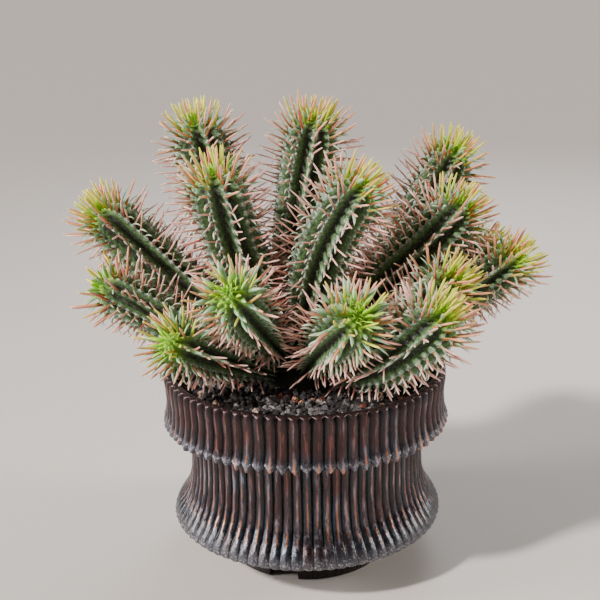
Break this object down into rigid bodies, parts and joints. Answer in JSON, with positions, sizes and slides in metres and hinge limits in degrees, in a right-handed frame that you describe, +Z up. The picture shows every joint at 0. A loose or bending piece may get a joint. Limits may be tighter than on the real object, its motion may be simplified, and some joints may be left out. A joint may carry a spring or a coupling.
{
  "type": "potted euphorbia inconstantia",
  "caption": "Clump-forming ribbed succulent with pink spines, rooted in dark lava grit in a round fluted stoneware pot with a scalloped rim.",
  "frame": {"origin": "on the pot's axis, in the plane that its foot ring stands on", "axes": "+Z up along the pot's axis, +X to the plant's right as seen from its front, -Y towards its front"},
  "size_m": [0.2324, 0.1556, 0.2201],
  "materials": {
    "glaze": "satin dark iron glaze on stoneware, reddish brown where thin",
    "grit": "rough dark lava grit",
    "mesh": "black moulded mesh",
    "root_crown": "grey-brown corky skin",
    "stem": "waxy green flesh with grey-green rib edges and pink spines"
  },
  "bodies": {
    "root": {"pot": "glaze", "drain_mesh": "mesh", "soil": "grit", "root_crown": "root_crown", "stem_back_centre": "stem", "stem_back_left": "stem", "stem_front_left": "stem", "stem_far_left": "stem", "stem_low_left": "stem", "stem_rim_left": "stem", "stem_front_mid_left": "stem", "stem_front_mid_right": "stem", "stem_centre_right": "stem", "stem_back_right": "stem", "stem_right": "stem", "stem_small_right": "stem", "stem_far_right": "stem", "stem_front_right_back": "stem", "stem_front_right": "stem"}
  },
  "joints": []
}
